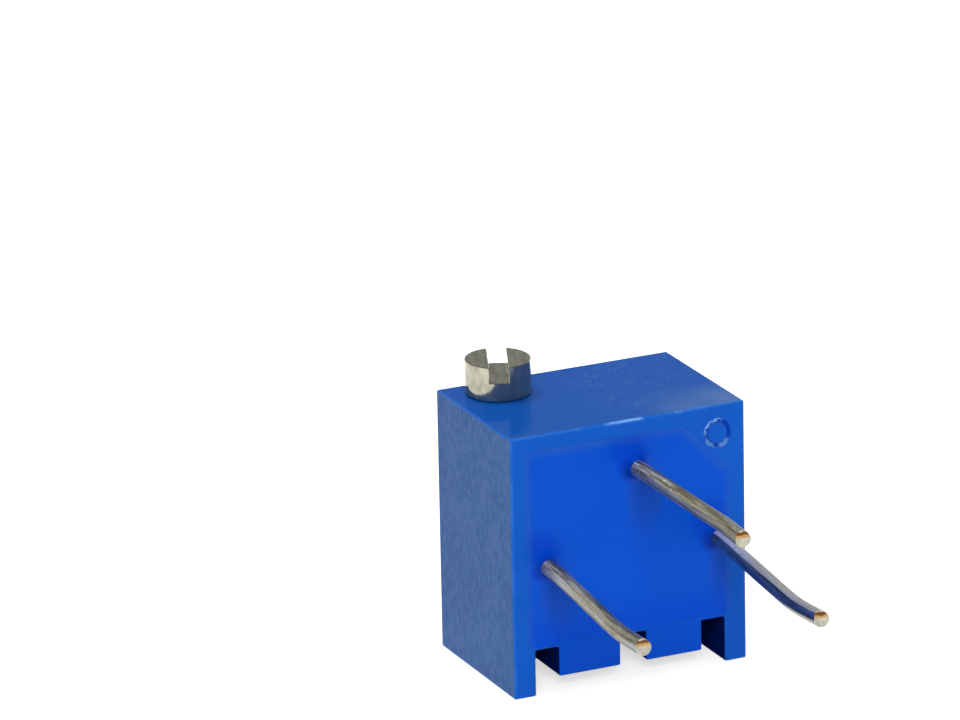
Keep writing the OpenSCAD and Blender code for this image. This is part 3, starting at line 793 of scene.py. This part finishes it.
def build_housing():
    bm = lead_face_plate()
    ring, verts = grow_ring(bm, open_edges(bm))
    bmesh.ops.translate(bm, vec=(0, CLOSED_FACE - LEAD_FACE, 0), verts=verts)
    cap(bm, ring)
    outward(bm)
    recess = faces_where(bm, lambda c, n: n.y < -0.9 and inside_recess(c.x, c.z) > 0)
    extrude_faces(bm, recess, (0, RECESS_DEPTH, 0))
    split_at(bm, "Y", LEAD_FACE + NOTCH_DEPTH)
    for low, high in NOTCHES:
        under = faces_where(bm, lambda c, n: n.z < -0.9 and abs(c.z - FOOT_HEIGHT) < 1e-4
                            and low < c.x < high and c.y < LEAD_FACE + NOTCH_DEPTH)
        extrude_faces(bm, under, (0, 0, NOTCH_HEIGHT))
    mouths = faces_where(bm, lambda c, n: abs(n.y) > 0.9 and abs(c.y - LEAD_FACE) < 1e-4
                         and FOOT_HEIGHT < c.z < NOTCH_TOP
                         and any(low < c.x < high for low, high in NOTCHES))
    bmesh.ops.delete(bm, geom=mouths, context="FACES")
    bmesh.ops.remove_doubles(bm, verts=bm.verts, dist=1e-4)
    outward(bm)
    round_off(bm, sharp_edges(bm, 30, lambda m: m.y < LEAD_FACE + RECESS_DEPTH - 0.01
                              or m.y > CLOSED_FACE - 0.01 or inside_recess(m.x, m.z) < -0.01),
              EDGE_ROUND)
    add_ring_mark(bm)
    # The walls of the notches and of the gap between the feet take the second material, painted
    # dark as shade.
    inner = HALF_WIDTH - FOOT_WIDTH + EDGE_ROUND / 3
    for face in faces_where(bm, lambda c, n: c.z < NOTCH_TOP + EDGE_ROUND / 3 and abs(c.x) < inner
                            and abs(n.y) < 0.5):
        if inside_recess(*face.calc_center_median().xz) < 0.0:
            face.material_index = 1
    shell = make_piece("housing_shell", bm, [MOULDING, NOTCH_PAINTED_SHADE], "body",
                       ["housing"])
    ledge, room_end = substrate_high.y, CLOSED_FACE - BACK_WALL
    wheel_room = round_bar(ROOM_RADIUS, 96, room_end - ledge + 0.1, "Y",
                           (WHEEL_AXIS.x, (room_end + ledge - 0.1) / 2, WHEEL_AXIS.z))
    bore = round_bar(BORE_RADIUS, 64, TOP - CHANNEL_LOW + 1, "Z",
                     SCREW_AXIS + Vector((0, 0, (TOP + CHANNEL_LOW + 1) / 2)))
    pivot = round_bar(PIVOT_RADIUS, 48, 1, "Z", SCREW_AXIS + Vector((0, 0, screw_low.z + 0.45)))
    clip_low, clip_high = corners("screw_retaining_clip")
    room = Vector((0.02, 0, 0.01))
    clip_seat = box_mesh(clip_low - room - Vector((0, 0.1, 0)),
                         clip_high + room + Vector((0, 0.06, 0)))
    carve(shell, [wheel_room, bore, pivot, clip_seat])
    add_wheel_seat(shell, room_end)


def add_wheel_seat(shell, room_end):
    """The boss that the worm wheel turns on, and the rib that stops it, on the closed wall."""
    bm = bmesh.new()
    bm.from_mesh(shell.data)
    wheel_front = corners("worm_wheel")[0].y
    boss = round_bar(BOSS_RADIUS, 48, room_end + SEAT_ROOT - wheel_front - BOSS_SET_BACK, "Y",
                     (WHEEL_AXIS.x, (room_end + SEAT_ROOT + wheel_front + BOSS_SET_BACK) / 2,
                      WHEEL_AXIS.z))
    rib = bmesh.new()
    start = Vector((0, STOP_RIB["front"], 0))
    points = [rib.verts.new(start + Vector((x, y, 0))) for x,
              y in ((STOP_RIB["inner"], 0), (STOP_RIB["outer"], 0),
                    (STOP_RIB["outer"], room_end + SEAT_ROOT - STOP_RIB["front"]),
                    (STOP_RIB["inner"], room_end + SEAT_ROOT - STOP_RIB["front"]))]
    face = rib.faces.new(points)
    half = STOP_RIB["half_angle"]
    bmesh.ops.rotate(rib, cent=(0, 0, 0), verts=rib.verts,
                     matrix=Matrix.Rotation(math.radians(90 - half), 3, "Y"))
    bmesh.ops.spin(rib, geom=[face, *face.edges, *face.verts], axis=(0, 1, 0), cent=(0, 0, 0),
                   steps=12, angle=math.radians(2 * half))
    bmesh.ops.translate(rib, verts=rib.verts, vec=(WHEEL_AXIS.x, 0, WHEEL_AXIS.z))
    bmesh.ops.remove_doubles(rib, verts=rib.verts, dist=0.0005)
    outward(rib)
    for form in (boss, rib):
        keep_sharp(sharp_edges(form, 50))
        for face in form.faces:
            face.smooth = True
        bmesh.ops.scale(form, vec=(MM, MM, MM), verts=form.verts)
        add_shell(bm, form)
    bm.to_mesh(shell.data)
    bm.free()


# ---------------------------------------------------------------- potting
def epoxy_rise(x, z):
    """How far the cured epoxy stands above its level: drawn up at the walls and the leads."""
    rise = WALL_CREEP * math.exp(-max(inside_recess(x, z), 0) / WALL_FADE)
    for lead in LEADS.values():
        away = math.hypot(x - lead["x"], z - lead["z"]) - LEAD_RADIUS
        rise += lead["creep"] * math.exp(-max(away, 0) / LEAD_FADE)
        rise -= DIP_DEPTH * math.exp(-((away - DIP_AWAY) / DIP_WIDTH) ** 2)
    return rise


def build_potting():
    """A fine grid over the recess, lifted where the epoxy creeps, down to the substrate."""
    margin = EPOXY_MARGIN
    bm = upright_grid(RECESS_HALF + margin, RECESS_FLOOR - margin, RECESS_TOP + margin,
                      LEAD_FACE + EPOXY_DROP, 210, 196)
    hidden = [v for v in bm.verts if inside_recess(v.co.x, v.co.z) < -margin * 1.5]
    bmesh.ops.delete(bm, geom=hidden, context="VERTS")
    for vert in bm.verts:
        vert.co.y -= epoxy_rise(vert.co.x, vert.co.z)
        if inside_recess(vert.co.x, vert.co.z) < 0.01:
            vert.co.y = max(vert.co.y, LEAD_FACE + EPOXY_BELOW_FACE)
    ring, verts = grow_ring(bm, open_edges(bm))
    for vert in verts:
        vert.co.y = epoxy_high.y
    cap(bm, ring)
    outward(bm)
    make_piece("potting_fill", bm, [EPOXY], "body", ["potting_seal"])


# ---------------------------------------------------------------- leads
def lead_route(lead):
    """Stretches of a lead from the lead face as (length, bend): straight, bend and so on."""
    first, last = math.radians(lead["tilt"][0]), math.radians(sum(lead["tilt"]))
    bends = BEND_RADIUS * (abs(math.sin(first)) + abs(math.sin(last) - math.sin(first)))
    straight = lead["reach"] - LEAD_ROOT - bends - LEAD_TAIL * math.cos(last)
    return [(LEAD_ROOT, 0), (0, first), (straight / math.cos(first), 0), (0, last - first),
            (LEAD_TAIL, 0)]


def heading(tilt):
    return Vector((0, -math.cos(tilt), -math.sin(tilt)))


def build_lead(name, lead):
    inner_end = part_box("lead_" + name)[1][1] / MM
    place = Vector((lead["x"], inner_end, lead["z"]))
    bm = bmesh.new()
    drawn = bm.verts.layers.float_vector.new("drawn")
    bmesh.ops.create_circle(bm, cap_ends=True, segments=40, radius=LEAD_RADIUS,
                            matrix=Matrix.Translation(place) @ Matrix.Rotation(math.pi / 2, 4,
                                                                               "X"))
    ring = list(bm.edges)
    tilt = travelled = 0.0
    for length, bend in [(inner_end - LEAD_FACE, 0)] + lead_route(lead):
        steps = 12 if bend else 4
        side = 1 if bend > 0 else -1
        centre = place + Vector((0, math.sin(tilt), -math.cos(tilt))) * side * BEND_RADIUS
        turn = Matrix.Rotation(bend / steps, 3, "X")
        for step in range(1, steps + 1):
            ring, verts = grow_ring(bm, ring)
            travelled += (abs(bend) * BEND_RADIUS or length) / steps
            if bend:
                bmesh.ops.rotate(bm, cent=centre, matrix=turn, verts=verts)
                place = centre + turn @ (place - centre)
            else:
                forward = heading(tilt) * length / steps
                bmesh.ops.translate(bm, vec=forward, verts=verts)
                place = place + forward
            straighten = Matrix.Rotation(-tilt - bend * step / steps, 3, "X")
            start = Vector((lead["x"], -travelled, 0))
            for vert in verts:
                vert[drawn] = (straighten @ (vert.co - place) + start) * MM
        tilt += bend
    shape_cut_end(bm, ring, place, heading(tilt))
    outward(bm)
    make_piece("wire_" + name, bm, [WIRE, WIRE_END], "body", ["lead_" + name])


def shape_cut_end(bm, ring, tip, forward):
    """Closes the snipped end of a lead with two cuts: one square, and one sloped at its top."""
    square = cap(bm, ring)
    upward = forward.cross(Vector((1, 0, 0)))
    slope = (forward * math.cos(SNIP_SLOPE) + upward * math.sin(SNIP_SLOPE)).normalized()
    end = [face for face in bm.faces
           if (face.calc_center_median() - tip).dot(forward) > -LEAD_TAIL / 2]
    parts = {item for face in end for item in (*face.verts, *face.edges)}
    crease = tip + upward * SNIP_CREASE
    opened = bmesh.ops.bisect_plane(bm, geom=list(parts) + end, dist=1e-5, plane_co=crease,
                                    plane_no=slope, clear_outer=True)["geom_cut"]
    rim = [item for item in opened if isinstance(item, bmesh.types.BMEdge)]
    sloped = cap(bm, rim)
    cuts = [face for face in square + sloped if face.is_valid]
    for face in cuts:
        face.material_index = 1
    rim = [edge for edge in {edge for face in cuts for edge in face.edges}
           if not set(edge.link_faces) <= set(cuts)]
    for face in cuts:
        keep_sharp(face.edges)
    round_off(bm, rim, SNIP_BURR, 2, 1, False)
    cut_height = bm.verts.layers.float.new("cut_height")
    for vert in bm.verts:
        vert[cut_height] = (vert.co - tip).dot(upward) / LEAD_RADIUS


# ---------------------------------------------------------------- adjustment screw
def thread_radius(angle, root, tip):
    """Radius at an angle from the crest: the tip, then the flank down to the root."""
    away = math.degrees(abs((angle + math.pi) % math.tau - math.pi))
    flank_start, flank_end = 66.2, 107.2
    share = min(max((away - flank_start) / (flank_end - flank_start), 0), 1)
    return tip + (root - tip) * share


def screw_body():
    """The turned part: head, shank with the seal groove and the neck of the clip."""
    shank, neck = SHANK_RADIUS, NECK_RADIUS
    groove, clip = TOP - 0.83, TOP - 1.35
    groove_top, clip_top = groove + 0.36, clip + 0.25
    low = WORM_MIDDLE + WORM_HALF
    return spin_mesh([
        (0, low - 0.05), (TAIL_RADIUS, low - 0.05), (TAIL_RADIUS, low + 0.10),
        (shank, low + 0.10), (shank, clip - 0.05), (neck, clip - 0.05), (neck, clip_top),
        (shank, clip_top), (shank, groove), (neck, groove), (neck, groove_top),
        (shank, groove_top), (shank, HEAD_BASE), (HEAD_RADIUS, HEAD_BASE),
        (HEAD_RADIUS, HEAD_TOP), (0, HEAD_TOP)], 96)


def cut_slot(bm):
    """Opens the slot across the head, then rounds its edges and the head's rim."""
    floor, half = HEAD_TOP - SLOT_DEPTH, SLOT_WIDTH / 2
    split_at(bm, "X", -half, half)
    split_at(bm, "Z", floor)
    open_up = faces_where(bm, lambda c, n: abs(c.x) < half - 1e-4 and c.z > floor + 1e-4
                          and n.z > -0.5)
    bmesh.ops.delete(bm, geom=open_up, context="FACES")
    rim = {vert for edge in open_edges(bm) for vert in edge.verts}
    for side in (-half, half):
        wall = [vert for vert in rim if abs(vert.co.x - side) < 1e-4]
        cap(bm, wall)
    cap(bm, open_edges(bm))
    outward(bm)
    head = sharp_edges(bm, 40, lambda m: m.z > HEAD_BASE - 0.01
                       and math.hypot(m.x, m.y) > 0.3 * HEAD_RADIUS or m.z > floor - 0.01)
    round_off(bm, head, SCREW_ROUND)


def worm_thread():
    """The worm: one ring after another, each turned on by its share of the pitch."""
    pitch = math.tau * WHEEL_RADIUS / WHEEL_TEETH
    rows_per_turn = 28
    rows = round(2 * WORM_HALF / pitch * rows_per_turn)
    bm = bmesh.new()
    bmesh.ops.create_circle(bm, cap_ends=True, segments=56, radius=1.0)
    ring, verts = list(bm.edges), list(bm.verts)
    for row in range(rows + 1):
        if row:
            ring, verts = grow_ring(bm, ring)
        height = 2 * WORM_HALF * row / rows - WORM_HALF
        crest = math.pi + math.tau * height / pitch
        for vert in verts:
            angle = math.atan2(vert.co.y, vert.co.x)
            radius = thread_radius(angle - crest, WORM_ROOT, WORM_TIP)
            vert.co = (radius * math.cos(angle), radius * math.sin(angle), WORM_MIDDLE + height)
    cap(bm, ring)
    outward(bm)
    return bm


def build_screw():
    bm = screw_body()
    cut_slot(bm)
    bmesh.ops.rotate(bm, cent=(0, 0, 0), verts=bm.verts,
                     matrix=Matrix.Rotation(math.radians(-SLOT_TURN), 3, "Z"))
    add_shell(bm, worm_thread())
    low, high = screw_low.z, WORM_MIDDLE - WORM_HALF + 0.02
    add_shell(bm, spin_mesh([(0, low), (TAIL_RADIUS - 0.03, low), (TAIL_RADIUS, low + 0.03),
                             (TAIL_RADIUS, high), (0, high)], 48))
    bmesh.ops.translate(bm, vec=SCREW_AXIS, verts=bm.verts)
    make_piece("slotted_screw", bm, [PLATING], "screw", ["adjustment_screw"])


build_housing()
build_potting()
for lead_name, lead_values in LEADS.items():
    build_lead(lead_name, lead_values)
build_screw()


# ---------------------------------------------------------------- floor, light and camera
def empty_tree(owner):
    owner.use_nodes = True
    owner.node_tree.nodes.clear()
    return owner.node_tree


def seen_rays(tree):
    """The outputs that tell rays apart, and a mask of the rays that see a surface."""
    rays = add_node(tree, "ShaderNodeLightPath").outputs
    bent = sums("MAXIMUM", rays["Is Glossy Ray"], rays["Is Transmission Ray"])
    return rays, sums("MAXIMUM", rays["Is Camera Ray"], bent)


def studio_white(name, tone):
    """A pale surface that shows as white to the camera and in reflections, and keeps shadows."""
    material = bpy.data.materials.new(name)
    tree = empty_tree(material)
    diffuse = add_node(tree, "ShaderNodeBsdfDiffuse", {"Color": (tone, tone, tone, 1)})
    glow = add_node(tree, "ShaderNodeEmission",
                    {"Color": (1, 1, 1, 1), "Strength": prod(seen_rays(tree)[1], 0.62)})
    both = add_node(tree, "ShaderNodeAddShader", {0: diffuse.outputs[0], 1: glow.outputs[0]})
    add_node(tree, "ShaderNodeOutputMaterial", {"Surface": both.outputs[0]})
    return material


def build_floor():
    bm = bmesh.new()
    bmesh.ops.create_grid(bm, x_segments=1, y_segments=1, size=600)
    floor = make_piece("floor", bm, [studio_white("floor_white", 0.80)], smooth=False)


def add_lamp(name, place, size, power):
    """A lamp aimed at the part. Surfaces don't mirror it: they mirror the white room instead."""
    data = bpy.data.lights.new(name, "AREA")
    data.shape = "RECTANGLE"
    data.size, data.size_y = size[0] * MM, size[1] * MM
    data.energy = power
    lamp = bpy.data.objects.new(name, data)
    lamp.visible_glossy = False
    bpy.context.collection.objects.link(lamp)
    lamp.location = Vector(place) * MM
    toward = Vector((0, 2, 4)) * MM - Vector(place) * MM
    lamp.rotation_euler = toward.to_track_quat("-Z", "Y").to_euler()


def build_world():
    world = bpy.data.worlds.new("white_room")
    bpy.context.scene.world = world
    tree = empty_tree(world)
    rays, seen = seen_rays(tree)
    dim = 0.28
    axes = axes_of(add_node(tree, "ShaderNodeTexCoord").outputs["Generated"])
    ceiling = ranged(axes["Z"], 0.05, 0.30, 1.0, 0.33)
    front = ranged(axes["Y"], -0.40, 0.20, 0.30, 1.0)
    shown = sums("MAXIMUM", prod(ceiling, front), rays["Is Camera Ray"])
    strength = madd(seen, sums("SUBTRACT", shown, dim), dim)
    glow = add_node(tree, "ShaderNodeBackground", {"Color": (1, 1, 1, 1), "Strength": strength})
    add_node(tree, "ShaderNodeOutputWorld", {"Surface": glow.outputs[0]})


def build_camera():
    """The camera stands well back behind a long lens, a little turned about its own axis."""
    azimuth, elevation, roll = (math.radians(a) for a in (-24.53, 18.55, -1.16))
    aside, above, away = -4.513, 8.935, 208.49
    back = Vector((math.sin(azimuth) * math.cos(elevation),
                   -math.cos(azimuth) * math.cos(elevation), math.sin(elevation)))
    level = Vector((math.cos(azimuth), math.sin(azimuth), 0))
    upright = back.cross(level)
    right = math.cos(roll) * level + math.sin(roll) * upright
    up = back.cross(right)
    data = bpy.data.cameras.new("camera")
    data.lens = 288.52
    data.sensor_width = 36
    data.clip_start = 0.005
    data.clip_end = 10
    camera = bpy.data.objects.new("camera", data)
    bpy.context.collection.objects.link(camera)
    turn = Matrix((right, up, back)).transposed()
    place = (right * aside + up * above + back * away) * MM
    camera.matrix_world = Matrix.Translation(place) @ turn.to_4x4()
    bpy.context.scene.camera = camera


build_floor()
add_lamp("key_from_the_left", (-120, -285, 190), (220, 160), 0.90)
add_lamp("overhead", (-30, 70, 300), (150, 150), 0.45)
build_world()
build_camera()
bpy.context.scene.view_settings.view_transform = "Standard"
